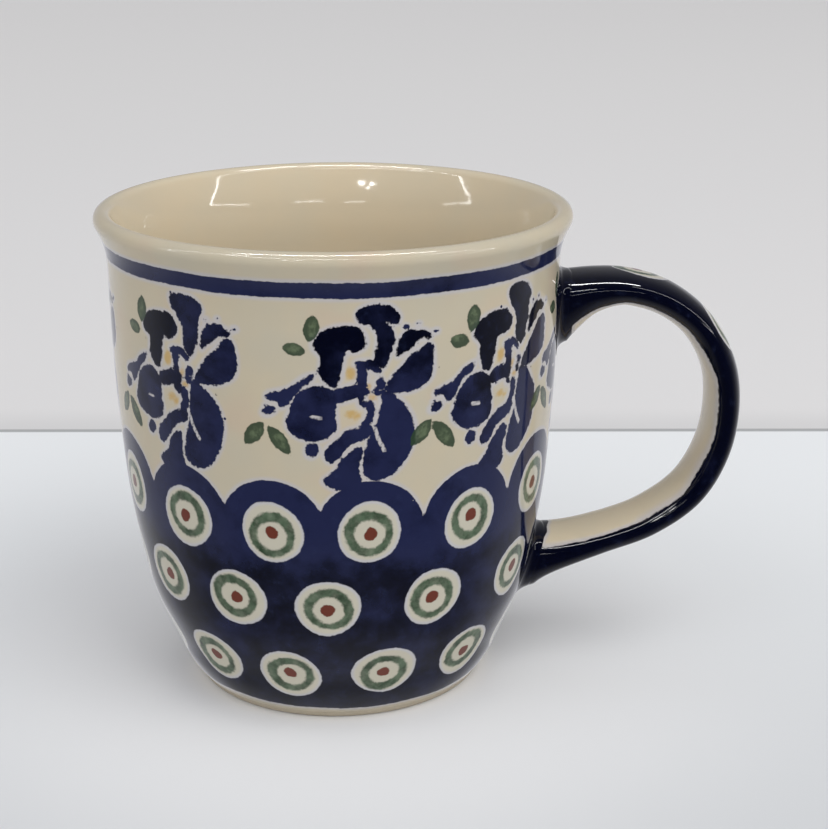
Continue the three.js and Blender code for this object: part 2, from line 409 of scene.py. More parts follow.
def skin(name, rings, paint, capped=False, closed=False, bake=None):
    """A mesh over rings of points (rows, columns, 3), each ring closed on itself.
    capped closes both ends with a middle point, and closed joins the last ring to the first."""
    rows, columns = rings.shape[:2]
    points = rings.reshape(-1, 3)
    row = np.arange(rows if closed else rows - 1)[:, None]
    column = np.arange(columns)[None]
    after = (row + 1) % rows
    beside = (column + 1) % columns
    quads = np.stack([
        row * columns + column, row * columns + beside,
        after * columns + beside, after * columns + column,
    ], -1).reshape(-1, 4)
    faces = quads.tolist()
    places = bake(np.stack([
        np.stack([row + 0 * column, column + 0 * row], -1),
        np.stack([row + 0 * column, column + 1 + 0 * row], -1),
        np.stack([row + 1 + 0 * column, column + 1 + 0 * row], -1),
        np.stack([row + 1 + 0 * column, column + 0 * row], -1),
    ], -2).reshape(-1, 4, 2)).reshape(-1, 2)
    if capped:
        points = np.vstack([points, rings[0].mean(0), rings[-1].mean(0)])
        first, last = rows * columns, rows * columns + 1
        end = (rows - 1) * columns
        extra = []
        for k in range(columns):
            after_k = (k + 1) % columns
            faces.append([first, after_k, k])
            extra += [(0, k + 0.5), (0.01, k + 1), (0.01, k)]
        for k in range(columns):
            after_k = (k + 1) % columns
            faces.append([last, end + k, end + after_k])
            extra += [(rows - 1, k + 0.5), (rows - 1.01, k), (rows - 1.01, k + 1)]
        spots = np.array(extra, float).reshape(-1, 3, 2)
        places = np.vstack([places, bake(spots).reshape(-1, 2)])
    mesh = bpy.data.meshes.new(name)
    mesh.from_pydata((points * MM + AXIS).tolist(), [], faces)
    mesh.uv_layers.new(name="OFBake").data.foreach_set("uv", places.astype(np.float32).ravel())
    for channel, values in paint.of.items():
        if capped:
            values = np.concatenate([values, [values[0], values[-1]]])
        layer = mesh.attributes.new(channel, "FLOAT", "POINT")
        layer.data.foreach_set("value", values.astype(np.float32))
    mesh.shade_smooth()
    mesh.validate()
    piece = bpy.data.objects.new(name, mesh)
    bpy.context.scene.collection.objects.link(piece)
    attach(piece, "root")
    return piece


def wall_radius(height):
    """The outer wall's radius at a height."""
    return np.interp(height, WALL_FINE[:, 1], WALL_FINE[:, 0])


WALL_FINE = spline([(radius, height) for height, radius in WALL_LINE], 24)


def cup_profile():
    """(radius, height) from the middle of the base out, up the wall, over the lip and down
    the inside to the middle of the floor, and how many of the points come before the wall
    and before the lip."""
    ring_inside = FOOT_RADIUS - FOOT_WIDTH
    base = evenly(np.array([(0.6, RECESS), (12, RECESS), (ring_inside - 1.6, RECESS)]), 8)
    foot = np.maximum(spline([
        (ring_inside - 1.6, RECESS), (ring_inside - 0.5, 0.75), (ring_inside + 0.2, 0.12),
        (ring_inside + 1.1, 0.0), (FOOT_RADIUS - 1.1, 0.0), (FOOT_RADIUS - 0.15, 0.2),
        (FOOT_RADIUS + 0.35, 0.8), (WALL_LINE[0][1] - 0.1, 1.35),
    ], 3)[1:], 0)
    wall = evenly(WALL_FINE, UP)
    middle = (RIM_RADIUS - LIP_RADIUS, HEIGHT - LIP_RADIUS)
    angles = np.radians(np.linspace(-22, 160, 18))
    lip = np.stack([
        middle[0] + LIP_RADIUS * np.cos(angles), middle[1] + LIP_RADIUS * np.sin(angles),
    ], 1)
    side = WALL_FINE[(WALL_FINE[:, 1] > FLOOR_HEIGHT + 7) & (WALL_FINE[:, 1] < 82)]
    lean = np.gradient(side, axis=0)
    lean /= np.linalg.norm(lean, axis=1)[:, None]
    inner = (side + WALL * np.stack([-lean[:, 1], lean[:, 0]], 1))[::-1]
    lowest = inner[-1]
    t = np.linspace(0, 1, 12)[1:, None]
    corner = (
        (1 - t) ** 2 * lowest + 2 * t * (1 - t) * np.array([lowest[0] - 3.4, FLOOR_HEIGHT + 0.3])
        + t ** 2 * np.array([lowest[0] - 13, FLOOR_HEIGHT])
    )
    neck = spline([lip[-2], lip[-1], (41.55, 91.4), (40.75, 89.0), (40.2, 86.4), inner[0]], 6)[12:]
    inside = evenly(np.vstack([neck, inner[1:], corner, [[0.6, FLOOR_HEIGHT]]]), 46)
    marks = (len(base) + len(foot), len(base) + len(foot) + len(wall))
    return np.vstack([base, foot, wall, lip, inside]), marks


def make_cup():
    """The cup, turned from its profile, with the painting on the outer wall."""
    profile, (wall_start, wall_end) = cup_profile()
    rows = len(profile)
    angle = np.arange(AROUND) * 2 * math.pi / AROUND
    height = np.repeat(profile[:, 1:], AROUND, 1)
    radius = np.repeat(profile[:, :1], AROUND, 1)
    # Hand finishing leaves the mug a little out of round, and never past its full size.
    slack = 0.1 * (1 + np.sin(2 * angle + 0.6)) / 2 + 0.06 * (1 + np.sin(3 * angle)) / 2
    radius = radius - slack[None] * np.clip((height - 4) / 30, 0, 1)
    sag = 0.12 * (1 + np.sin(angle * 2 + 2)) / 2
    height = height - sag[None] * np.clip((height - 60) / 35, 0, 1)
    rings = np.stack([radius * np.cos(angle), radius * np.sin(angle), height], -1)

    across = np.broadcast_to((angle - FRONT) * PATTERN_RADIUS, radius.shape)
    paint = Paint(rows * AROUND)
    wall = slice(wall_start * AROUND, wall_end * AROUND)
    painted = paint_wall(across[wall_start:wall_end].ravel(),
                         np.repeat(profile[wall_start:wall_end, 1], AROUND))
    for name in CHANNELS:
        paint.of[name][wall] = painted.of[name]
    # Inside the bowl the glaze takes the lining's creams, which are paler partly by painted light.
    within = np.clip((np.arange(rows) - wall_end - 9) / 8, 0, 1)
    paint.of["inside"] = np.repeat(within, AROUND)
    under = np.clip((2.0 - profile[:, 1]) / 0.7, 0, 1) * (np.arange(rows) < wall_start + 4)
    paint.of["bare"] = np.repeat(under, AROUND)

    half = AROUND // 2

    def bake(spots):
        """The wall in two strips, each half of the way round, and the rest above them."""
        row, column = spots[..., 0], spots[..., 1]
        second = (column.mean(-1) >= half)[..., None]
        on_wall = (row.mean(-1) > wall_start - 1) & (row.mean(-1) < wall_end)
        strip_x = 0.004 + 0.992 * (column - half * second) / half
        strip_y = 0.004 + 0.39 * np.clip((row - wall_start + 1) / (UP + 1), 0, 1) + 0.4 * second
        below = row < wall_start
        rest_y = np.where(
            below, 0.804 + 0.05 * row / wall_start,
            0.862 + 0.134 * (row - wall_end + 1) / (rows - wall_end + 1),
        )
        x = np.where(on_wall[..., None], strip_x, 0.004 + 0.992 * column / AROUND)
        y = np.where(on_wall[..., None], strip_y, rest_y)
        return np.stack([x, y], -1)

    piece = skin("cup", rings, paint, capped=True, bake=bake)
    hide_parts("cup_body")
    return piece


# ---------------------------------------------------------------- handle

ROUTE_FINE = evenly(spline(ROUTE, 40), 2400)
ROUTE_RUN = np.concatenate([
    [0], np.cumsum(np.linalg.norm(np.diff(ROUTE_FINE, axis=0), axis=1))])
ROUTE_LENGTH = ROUTE_RUN[-1]
ROOT_INSET = 5.5
# Eyes along the strap, as (distance along it, how far towards the back of the mug).
EYES_ON_HANDLE = [
    (21.3, 1.8), (38.8, -1.3), (56.3, -0.3), (73.8, 0.4), (91.3, -0.2), (108.8, 0.2),
]


def route_at(run):
    """Middle of the strap, its direction and its outward direction at a distance along it."""
    middle = np.stack([np.interp(run, ROUTE_RUN, ROUTE_FINE[:, k]) for k in (0, 1)], -1)
    ahead = np.stack([np.interp(run + 0.5, ROUTE_RUN, ROUTE_FINE[:, k]) for k in (0, 1)], -1)
    behind = np.stack([np.interp(run - 0.5, ROUTE_RUN, ROUTE_FINE[:, k]) for k in (0, 1)], -1)
    along = ahead - behind
    along /= np.linalg.norm(along, axis=-1, keepdims=True)
    return middle, along, np.stack([-along[..., 1], along[..., 0]], -1)


SECTION_ANGLE = 2 * math.pi * np.arange(SECTION_SIDES) / SECTION_SIDES


def swell(run):
    """How much further the inner side stands out than the outer one, near the roots."""
    upper, lower = run - ROOT_INSET, ROUTE_LENGTH - run - ROOT_INSET
    total = 0
    for reach, (height, length) in ((upper, UPPER_SWELL), (lower, LOWER_SWELL)):
        total = total + height * np.clip(1 - np.maximum(reach, 0) / length, 0, 1) ** SWELL_POWER
    return total


def strap_section(run):
    """(outward, sideways) of the strap's outline at distances along it, in millimetres."""
    power = 2 / SQUARENESS
    cosine, sine = np.cos(SECTION_ANGLE), np.sin(SECTION_ANGLE)
    to_wall = np.minimum(run, ROUTE_LENGTH - run) - ROOT_INSET
    flare = np.exp(-np.maximum(to_wall, 0) / FLARE_LENGTH)
    outer = (STRAP_THICKNESS + (ROOT_THICKNESS - STRAP_THICKNESS) * flare) / 2
    inner = outer + swell(run)
    half = np.where(cosine[None] > 0, outer[:, None], inner[:, None])
    out = np.sign(cosine) * np.abs(cosine) ** power * half
    side = np.sign(sine) * np.abs(sine) ** power * STRAP_WIDTH / 2
    return out, np.broadcast_to(side, out.shape)


def strap_points(run):
    """The strap's surface as rings of points at distances along it."""
    middle, _, outward = route_at(run)
    out, side = strap_section(run)
    flat = middle[:, None] + outward[:, None] * out[..., None]
    return np.stack([flat[..., 0], side, flat[..., 1]], -1)


def from_wall(points):
    """Distance of points from the cup's outer wall, near enough, positive outside."""
    return np.hypot(points[..., 0], points[..., 1]) - wall_radius(points[..., 2])


def strap_paint(points, out, side, run):
    """The handle's decoration: cobalt outside and on the sides, round both roots, and eyes."""
    rows, columns = out.shape
    paint = Paint(rows * columns)
    everywhere = np.arange(rows * columns)
    drift = 0.12 * np.sin(run * 0.21) + 0.1 * np.sin(run * 0.47 + 1.3)
    drift = drift[:, None]
    upper = (run < ROUTE_LENGTH / 2)[:, None]
    to_end = np.clip(1 - (ROUTE_LENGTH - ROOT_INSET - run[:, None]) / 24, 0, 1)
    lift = 1.3 + np.where(upper, 0.5 * swell(run)[:, None], 2.9 * to_end ** 0.8)
    edge = np.maximum(out - out.min(1)[:, None] - lift + drift, np.abs(side) - 6.6 - drift * 0.5)
    gap = from_wall(points)
    reach = np.where(upper, 2.4 - 0.1 * side, 3.4 + 0.16 * side) + 0.14 * np.sin(side * 1.3)
    edge = np.maximum(edge, reach - gap)
    paint.add("field", everywhere, edge.ravel())
    dense = 0.75 + 0.25 * np.sin(run * 0.13 + 2)
    paint.of["dense"] = np.broadcast_to(dense[:, None], out.shape).ravel().copy()
    # The handle takes the lining's creams too, which are paler partly by painted light for the shade
    # on its inner face.
    paint.of["inside"] = np.ones(rows * columns)
    step = np.hypot(np.diff(out, axis=1), np.diff(side, axis=1))
    round_it = np.concatenate([np.zeros((rows, 1)), np.cumsum(step, axis=1)], 1)
    whole = round_it[:, -1:] + np.hypot(out[:, :1] - out[:, -1:], side[:, :1] - side[:, -1:])
    round_it = np.where(round_it > whole / 2, round_it - whole, round_it)
    for middle, aside in EYES_ON_HANDLE:
        offset = np.stack([
            np.broadcast_to(run[:, None] - middle, out.shape).ravel(),
            round_it.ravel() - aside,
        ], 1)
        near = np.where((np.abs(offset[:, 0]) < 9) & (np.abs(offset[:, 1]) < 9))[0]
        paint_eye(paint, near, offset[near], size=0.86)
    return paint


def make_handle():
    """The strap, with both ends just inside the cup's wall."""
    run = np.linspace(0, ROUTE_LENGTH, STRAP_STEPS * 3)
    gap = from_wall(strap_points(run)).max(1)
    shown = run[gap > -SUNK_IN_WALL]
    run = np.linspace(shown[0], shown[-1], STRAP_STEPS)
    points = strap_points(run)
    too_deep = np.maximum(-SUNK_IN_WALL - from_wall(points), 0)
    points[..., :2] *= 1 + (too_deep / np.hypot(points[..., 0], points[..., 1]))[..., None]
    out, side = strap_section(run)
    paint = strap_paint(points, out, side, run)

    def bake(spots):
        along = spots[..., 0] / (STRAP_STEPS - 1)
        return np.stack([0.01 + 0.98 * along, 0.01 + 0.98 * spots[..., 1] / SECTION_SIDES], -1)

    piece = skin("handle_strap", points[:, ::-1], flipped(paint, points.shape), True, bake=bake)
    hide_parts("handle")
    return piece


def flipped(paint, shape):
    """The channels with each ring's order turned round."""
    for name, values in paint.of.items():
        paint.of[name] = values.reshape(shape[:2])[:, ::-1].ravel()
    return paint


FILLET_STEPS = 9
# The share of the strap's length that is searched for the line where it meets the wall.
ROOT_SHARE = 0.3
SEARCH_STEPS = 900


def make_fillet(name, node, from_start, on_strap, on_wall):
    """The luting slip round one root: a hollow curve from the strap's skin to the wall's."""
    run = np.linspace(0, ROUTE_LENGTH * ROOT_SHARE, SEARCH_STEPS)
    if not from_start:
        run = ROUTE_LENGTH - run
    skins = strap_points(run)
    gap = from_wall(skins)
    rings = []
    for k in range(SECTION_SIDES):
        meets = np.argmax(gap[:, k] > 0)
        corner = skins[meets, k]
        walked = np.linalg.norm(skins[:, k] - corner, axis=1)
        lower = 0.5 + 0.5 * -math.cos(SECTION_ANGLE[k]) * (1 if from_start else -1)
        strap_reach = on_strap[0] + (on_strap[1] - on_strap[0]) * lower
        wall_reach = on_wall[0] + (on_wall[1] - on_wall[0]) * lower
        start = skins[meets + np.argmax(walked[meets:] > strap_reach), k]
        before, after = skins[meets, (k - 1) % SECTION_SIDES], skins[meets, (k + 1) % SECTION_SIDES]
        outline = after - before
        normal = np.array([corner[0], corner[1], 0.0])
        normal /= np.linalg.norm(normal)
        away = np.cross(normal, outline)
        away -= normal * (away @ normal)
        away /= np.linalg.norm(away)
        centre, _, _ = route_at(run[meets:meets + 1])
        if (corner - np.array([centre[0, 0], 0, centre[0, 1]])) @ away < 0:
            away = -away
        end = corner + away * wall_reach
        end[:2] *= (wall_radius(end[2]) + 0.02) / np.hypot(end[0], end[1])
        t = np.linspace(0, 1, FILLET_STEPS)[:, None]
        curve = (1 - t) ** 2 * start + 2 * t * (1 - t) * corner + t ** 2 * end
        under = end - normal * 0.9 - away * 0.4
        core = corner - normal * 1.0 - away * 0.8
        inner = start - away * 0.7
        curve[0] -= away * 0.04
        rings.append(np.vstack([curve, under, core, inner]))
    rings = np.array(rings).transpose(1, 0, 2)
    if from_start:
        rings = rings[:, ::-1]
    count = rings.shape[0]
    paint = Paint(count * SECTION_SIDES)
    paint.of["field"][:] = FAR
    paint.of["dense"][:] = 0.85

    def bake(spots):
        return np.stack([
            0.01 + 0.98 * spots[..., 1] / SECTION_SIDES, 0.01 + 0.98 * spots[..., 0] / count], -1)

    piece = skin(name, rings, paint, closed=True, bake=bake)
    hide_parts(node)
    return piece


# ---------------------------------------------------------------- materials

def tone(red, green, blue):
    """A screen colour, 0 to 255, as the linear colour of a surface."""
    out = []
    for value in (red, green, blue):
        value /= 255
        out.append(value / 12.92 if value <= 0.04045 else ((value + 0.055) / 1.055) ** 2.4)
    return (*out, 1.0)


class Graph:
    """Short calls that add nodes to a material."""

    def __init__(self, name):
        self.material = bpy.data.materials.new(name)
        self.material.use_nodes = True
        self.tree = self.material.node_tree
        self.tree.nodes.clear()
        self.shader = self.tree.nodes.new("ShaderNodeBsdfPrincipled")
        output = self.tree.nodes.new("ShaderNodeOutputMaterial")
        self.tree.links.new(self.shader.outputs[0], output.inputs["Surface"])
        place = self.tree.nodes.new("ShaderNodeTexCoord")
        scaled = self.tree.nodes.new("ShaderNodeVectorMath")
        scaled.operation = "SCALE"
        scaled.inputs["Scale"].default_value = 1 / MM
        self.tree.links.new(place.outputs["Object"], scaled.inputs[0])
        self.millimetres = scaled.outputs[0]

    def put(self, socket, value):
        if isinstance(value, bpy.types.NodeSocket):
            self.tree.links.new(value, socket)
        else:
            socket.default_value = value

    def math(self, operation, *values):
        node = self.tree.nodes.new("ShaderNodeMath")
        node.operation = operation
        for k, value in enumerate(values):
            self.put(node.inputs[k], value)
        return node.outputs[0]

    def channel(self, name):
        node = self.tree.nodes.new("ShaderNodeAttribute")
        node.attribute_name = name
        return node.outputs["Fac"]

    def noise(self, size, detail=2.0, roughness=0.5, shift=0.0):
        """Noise about 0, within about a half, with features of a size in millimetres."""
        node = self.tree.nodes.new("ShaderNodeTexNoise")
        node.noise_dimensions = "4D"
        self.put(node.inputs["Vector"], self.millimetres)
        self.put(node.inputs["W"], shift)
        self.put(node.inputs["Scale"], 1 / size)
        self.put(node.inputs["Detail"], detail)
        self.put(node.inputs["Roughness"], roughness)
        return self.math("SUBTRACT", node.outputs[0], 0.5)

    def cells(self, size, shift=0.0):
        """(distance from a cell's middle in millimetres, the cell's own number)."""
        node = self.tree.nodes.new("ShaderNodeTexVoronoi")
        node.voronoi_dimensions = "4D"
        self.put(node.inputs["Vector"], self.millimetres)
        self.put(node.inputs["W"], shift)
        self.put(node.inputs["Scale"], 1 / size)
        split = self.tree.nodes.new("ShaderNodeSeparateColor")
        self.put(split.inputs[0], node.outputs["Color"])
        return self.math("MULTIPLY", node.outputs["Distance"], size), split.outputs[0]

    def ramp(self, value, low, high, to_low=0.0, to_high=1.0):
        """Smooth step from to_low at low to to_high at high."""
        node = self.tree.nodes.new("ShaderNodeMapRange")
        node.interpolation_type = "SMOOTHSTEP"
        for k, item in enumerate((value, low, high, to_low, to_high)):
            self.put(node.inputs[k], item)
        return node.outputs[0]

    def mix(self, factor, first, second):
        node = self.tree.nodes.new("ShaderNodeMix")
        node.data_type = "RGBA"
        self.put(node.inputs["Factor"], factor)
        self.put(node.inputs[6], first)
        self.put(node.inputs[7], second)
        return node.outputs[2]

    def bump(self, height, strength, distance):
        node = self.tree.nodes.new("ShaderNodeBump")
        self.put(node.inputs["Height"], height)
        node.inputs["Strength"].default_value = strength
        node.inputs["Distance"].default_value = distance * MM
        self.tree.links.new(node.outputs[0], self.shader.inputs["Normal"])


CREAM = tone(198, 186, 160)
CREAM_COOL = tone(192, 184, 163)
CREAM_ROSE = tone(199, 179, 156)
# The lining's creams: a warmer tan than the outer wall, and paler, which is partly painted light for
# the shade inside the bowl and on the handle's inner face.
LINING_TAN_AND_PAINTED_LIGHT = tone(213, 198, 169)
LINING_PALE_AND_PAINTED_LIGHT = tone(208, 197, 172)
BLEED = tone(186, 187, 200)
COBALT = tone(33, 38, 70)
COBALT_DENSE = tone(2, 4, 22)
COBALT_THIN = tone(52, 62, 98)
DISC = tone(196, 191, 173)
GREEN = tone(92, 110, 88)
GREEN_DARK = tone(48, 66, 48)
LEAF = tone(92, 108, 80)
BRICK = tone(106, 54, 42)
OCHRE_TONE = tone(192, 156, 84)
BARE_CLAY = tone(178, 167, 146)
SPECK = tone(104, 94, 76)


def painted_glaze(name, depth, peel):
    """Clear gloss over cream stoneware, with the decoration from the vertices' channels.
    depth is how thickly the cobalt lies, and peel how uneven the gloss is."""
    g = Graph(name)
    wobble = g.math("ADD", g.math("MULTIPLY", g.noise(0.8, 3.0, 0.6), 1.0),
                    g.math("MULTIPLY", g.noise(3.0, 1.0, 0.5, 4.0), 0.8))

    def mask(channel, soft, amount):
        moved = g.math("ADD", g.channel(channel), g.math("MULTIPLY", wobble, amount))
        return g.ramp(moved, -soft, soft)

    clouds = g.noise(14.0, 3.0, 0.55, 9.0)
    fine = g.noise(1.6, 4.0, 0.65, 2.0)
    stain = g.noise(11.0, 2.0, 0.5, 12.0)
    ground = g.mix(g.ramp(clouds, -0.22, 0.22), CREAM, CREAM_COOL)
    ground = g.mix(g.math("MULTIPLY", g.ramp(stain, 0.02, 0.25), 0.5), ground, CREAM_ROSE)
    # The lining: its own warmer tan, made paler with painted light for the shade inside the bowl and
    # on the handle.
    lining_and_painted_light = g.mix(g.ramp(clouds, -0.3, 0.3), LINING_TAN_AND_PAINTED_LIGHT, LINING_PALE_AND_PAINTED_LIGHT)
    ground = g.mix(g.channel("inside"), ground, lining_and_painted_light)

    speck_gap, speck_number = g.cells(5.5, 3.0)
    speck = g.math("MULTIPLY", g.ramp(speck_gap, 0.28, 0.5, 1.0, 0.0),
                   g.ramp(speck_number, 0.90, 0.91))
    ground = g.mix(g.math("MULTIPLY", speck, 0.55), ground, SPECK)

    cobalt = mask("field", 0.1, 0.45)
    for layer in ("petal_a", "petal_b", "petal_c"):
        cobalt = g.math("MAXIMUM", cobalt, mask(layer, 0.13, 1.3))
    drop_gap, drop_number = g.cells(1.3, 7.0)
    edge = g.math("MAXIMUM", g.channel("petal_a"), g.channel("petal_b"))
    close = g.math("MULTIPLY", g.ramp(edge, -1.3, -0.7), g.ramp(drop_number, 0.86, 0.87))
    drops = g.math("MULTIPLY", g.ramp(drop_gap, 0.24, 0.36, 1.0, 0.0), close)
    cobalt = g.math("MAXIMUM", cobalt, drops)
    cobalt = g.math("MULTIPLY", cobalt, g.math("SUBTRACT", 1.0, mask("cut", 0.12, 0.22)))
    hole_gap, hole_number = g.cells(2.3, 11.0)
    holes = g.math("MULTIPLY", g.ramp(hole_gap, 0.1, 0.19, 1.0, 0.0), g.ramp(hole_number, 0.95, 0.96))
    cobalt = g.math("MULTIPLY", cobalt, g.math("SUBTRACT", 1.0, g.math("MULTIPLY", holes, 0.6)))
    reach = g.math("MAXIMUM", g.math("MAXIMUM", edge, g.channel("petal_c")), g.channel("field"))
    bleed = g.math("MULTIPLY", g.ramp(reach, -1.0, -0.1), 0.55)
    ground = g.mix(bleed, ground, BLEED)

    deep = g.math("ADD", g.channel("dense"), g.math("MULTIPLY", clouds, 1.5))
    deep = g.math("ADD", deep, g.math("MULTIPLY", g.noise(4.5, 4.0, 0.6, 6.0), 1.6))
    deep = g.math("ADD", deep, depth)
    blue = g.mix(g.ramp(deep, -0.1, 0.95), COBALT, COBALT_DENSE)
    thin = g.math("MULTIPLY", g.ramp(fine, 0.02, 0.4), 0.35)
    blue = g.mix(thin, blue, COBALT_THIN)
    colour = g.mix(cobalt, ground, blue)

    green = g.mix(g.ramp(g.noise(2.6, 3.0, 0.6, 5.0), -0.18, 0.2), GREEN_DARK, GREEN)
    leaf = mask("leaf", 0.12, 0.6)
    veins = g.mix(g.ramp(g.noise(1.1, 2.0, 0.6, 15.0), -0.2, 0.2), GREEN_DARK, LEAF)
    leaf_green = g.mix(mask("leaf_dark", 0.45, 1.4), GREEN_DARK, veins)
    colour = g.mix(g.math("MULTIPLY", leaf, 0.95), colour, leaf_green)
    ochre = g.math("MULTIPLY", mask("ochre", 0.5, 1.2), g.math("SUBTRACT", 1.0, cobalt))
    colour = g.mix(g.math("MULTIPLY", ochre, 0.75), colour, OCHRE_TONE)

    rim = g.math("MULTIPLY", g.ramp(g.channel("disc"), 0.9, 0.1), 0.6)
    colour = g.mix(mask("disc", 0.14, 0.45), colour, g.mix(rim, DISC, BLEED))
    ring = g.math("MULTIPLY", mask("ring", 0.3, 0.9), g.ramp(fine, -0.5, 0.15, 0.7, 1.0))
    colour = g.mix(ring, colour, green)
    colour = g.mix(mask("dot", 0.14, 0.6), colour, BRICK)
    bare = g.channel("bare")
    colour = g.mix(bare, colour, g.mix(g.ramp(fine, 0.0, 0.5, 0.0, 0.5), BARE_CLAY, SPECK))
    g.put(g.shader.inputs["Base Color"], colour)

    gloss = g.ramp(g.noise(6.0, 2.0, 0.5, 8.0), -0.3, 0.3, 0.05, 0.11)
    g.put(g.shader.inputs["Roughness"], g.math("ADD", gloss, g.math("MULTIPLY", bare, 0.6)))
    g.shader.inputs["IOR"].default_value = 1.52
    waves = g.math("ADD", g.math("MULTIPLY", g.noise(9.0, 1.0, 0.5, 1.0), 1.0),
                   g.math("MULTIPLY", g.noise(1.4, 2.0, 0.5, 3.0), peel))
    g.bump(waves, 0.35, 0.25)
    return g.material


def table_top():
    """A white table with painted shade that darkens it towards the front and painted light round the
    foot, and past its far edge the pale grey that closes the view, with painted shade just above the
    edge.
    """
    g = Graph("table")
    turned = g.tree.nodes.new("ShaderNodeVectorMath")
    turned.operation = "DOT_PRODUCT"
    g.put(turned.inputs[0], g.millimetres)
    angle = math.radians(EDGE_TURN)
    turned.inputs[1].default_value = (math.sin(angle), math.cos(angle), 0)
    back = turned.outputs["Value"]
    beyond = g.ramp(back, EDGE_Y, EDGE_Y + 2)
    # Painted shade: the table darkens from its far edge towards the front.
    near = g.mix(g.ramp(back, -190, EDGE_Y), tone(197, 199, 200), tone(240, 243, 243))
    near = g.mix(g.math("MULTIPLY", g.ramp(g.noise(260.0, 2.0), -0.25, 0.25), 0.3), near,
                 tone(226, 227, 226))
    from_foot = g.tree.nodes.new("ShaderNodeVectorMath")
    from_foot.operation = "DISTANCE"
    g.put(from_foot.inputs[0], g.millimetres)
    from_foot.inputs[1].default_value = tuple(AXIS / MM)
    # Painted light round the foot, which weakens the mug's shadow there.
    painted_light_round_foot = g.ramp(from_foot.outputs["Value"], 112, 30)
    near = g.mix(g.math("MULTIPLY", painted_light_round_foot, 0.8), near, tone(247, 247, 246))
    far = g.mix(g.ramp(back, EDGE_Y, EDGE_Y + 900), tone(226, 225, 223), tone(229, 228, 225))
    colour = g.mix(beyond, near, far)
    joint = g.ramp(g.math("ABSOLUTE", g.math("SUBTRACT", back, EDGE_Y + 1)), 1.9, 0.6)
    colour = g.mix(g.math("MULTIPLY", joint, 0.8), colour, tone(150, 152, 152))
    shade = g.math("MULTIPLY", beyond, g.ramp(back, EDGE_Y + 24, EDGE_Y + 2))
    colour = g.mix(g.math("MULTIPLY", shade, 0.3), colour, tone(190, 190, 189))
    g.put(g.shader.inputs["Base Color"], colour)
    g.shader.inputs["Roughness"].default_value = 0.5
    g.shader.inputs["Specular IOR Level"].default_value = 0.05
    g.bump(g.noise(3.0, 3.0), 0.05, 0.1)
    return g.material


# ---------------------------------------------------------------- scene

# The table's far edge: how far behind the mug's middle in millimetres, and its turn in degrees.
EDGE_Y = 148.0
EDGE_TURN = 3.4
# The strip lamps lie on a sphere of this radius round a point at this height, in metres.
LAMP_DISTANCE = 1.0
LAMP_MIDDLE = 0.09
# Lamps that only show in the gloss: name, the two ends' directions, thickness and power.
STRIPS = (
    ("right_tube", (76, 13), (50, 58), 0.014, 0.9),
    ("left_tube", (-88, 13), (-56, 54), 0.014, 0.9),
    ("right_foot", (50, 12), (76, 13), 0.01, 0.22),
    ("left_foot", (-88, 13), (-68, 12), 0.01, 0.2),
    ("left_cap", (-68, 51), (-55, 53), 0.014, 0.2),
    ("middle_right", (4, 14), (22, 14), 0.011, 0.16),
    ("middle_left", (-20, 13), (-8, 13), 0.011, 0.1),
    ("bulb", (-20, 28), (-17, 28), 0.03, 0.3),
    ("small_bulb", (-26, 27), (-23.5, 27.5), 0.024, 0.2),
    ("low_bulb", (-23, 24.5), (-20.5, 24.5), 0.02, 0.1),
    ("ceiling", (-88, 62), (88, 62), 0.035, 8),
    ("ceiling_edge", (-60, 40), (10, 40), 0.02, 2),
)


def aimed(thing, target):
    """Turns a lamp so that it looks at a point."""
    from_to = np.asarray(target, float) - np.array(thing.location)
    pitch = math.atan2(math.hypot(from_to[0], from_to[1]), -from_to[2])
    thing.rotation_euler = (pitch, 0, math.atan2(from_to[1], from_to[0]) - math.pi / 2)


def area(name, place, target, width, depth, power):
    """A broad lamp at a place, looking at a target, both in metres from the foot's middle."""
    lamp = bpy.data.lights.new(name, "AREA")
    lamp.shape = "RECTANGLE"
    lamp.size, lamp.size_y = width, depth
    lamp.energy = power
    thing = bpy.data.objects.new(name, lamp)
    thing.location = AXIS + np.array(place)
    bpy.context.scene.collection.objects.link(thing)
    aimed(thing, AXIS + np.array(target))
    return thing


def strip(name, start, end, thickness, power):
    """A thin lamp that only shows in the gloss, between two directions, each as (degrees to the
    right of the front, degrees up) seen from the mug."""
    ends = []
    for side, up in (start, end):
        side, up = math.radians(side), math.radians(up)
        ends.append(Vector((math.sin(side) * math.cos(up), -math.cos(side) * math.cos(up),
                            math.sin(up))) * LAMP_DISTANCE)
    middle = (ends[0] + ends[1]) / 2
    along = (ends[1] - ends[0]).normalized()
    back = middle.normalized()
    across = back.cross(along).normalized()
    lamp = bpy.data.lights.new(name, "AREA")
    lamp.shape = "RECTANGLE"
    lamp.size, lamp.size_y = (ends[1] - ends[0]).length, thickness
    lamp.energy = power
    thing = bpy.data.objects.new(name, lamp)
    turn = Matrix((along, across, along.cross(across))).transposed()
    thing.rotation_euler = turn.to_euler()
    thing.location = middle + Vector(AXIS) + Vector((0, 0, LAMP_MIDDLE))
    thing.visible_diffuse = False
    bpy.context.scene.collection.objects.link(thing)


def make_floor():
    """The table and the wall behind it, as one flat sheet that the gloss does not mirror."""
    size, steps = 7.0, 28
    mesh = bpy.data.meshes.new("floor")
    line = np.linspace(-size, size, steps + 1)
    x, y = np.meshgrid(line, line)
    points = np.stack([x, y, 0 * x], -1).reshape(-1, 3)
    at = np.arange(steps)[:, None] * (steps + 1) + np.arange(steps)[None]
    faces = np.stack([at, at + 1, at + steps + 2, at + steps + 1], -1).reshape(-1, 4)
    mesh.from_pydata(points.tolist(), [], faces.tolist())
    mesh.materials.append(table_top())
    floor = bpy.data.objects.new("floor", mesh)
    bpy.context.scene.collection.objects.link(floor)
    floor.visible_glossy = False


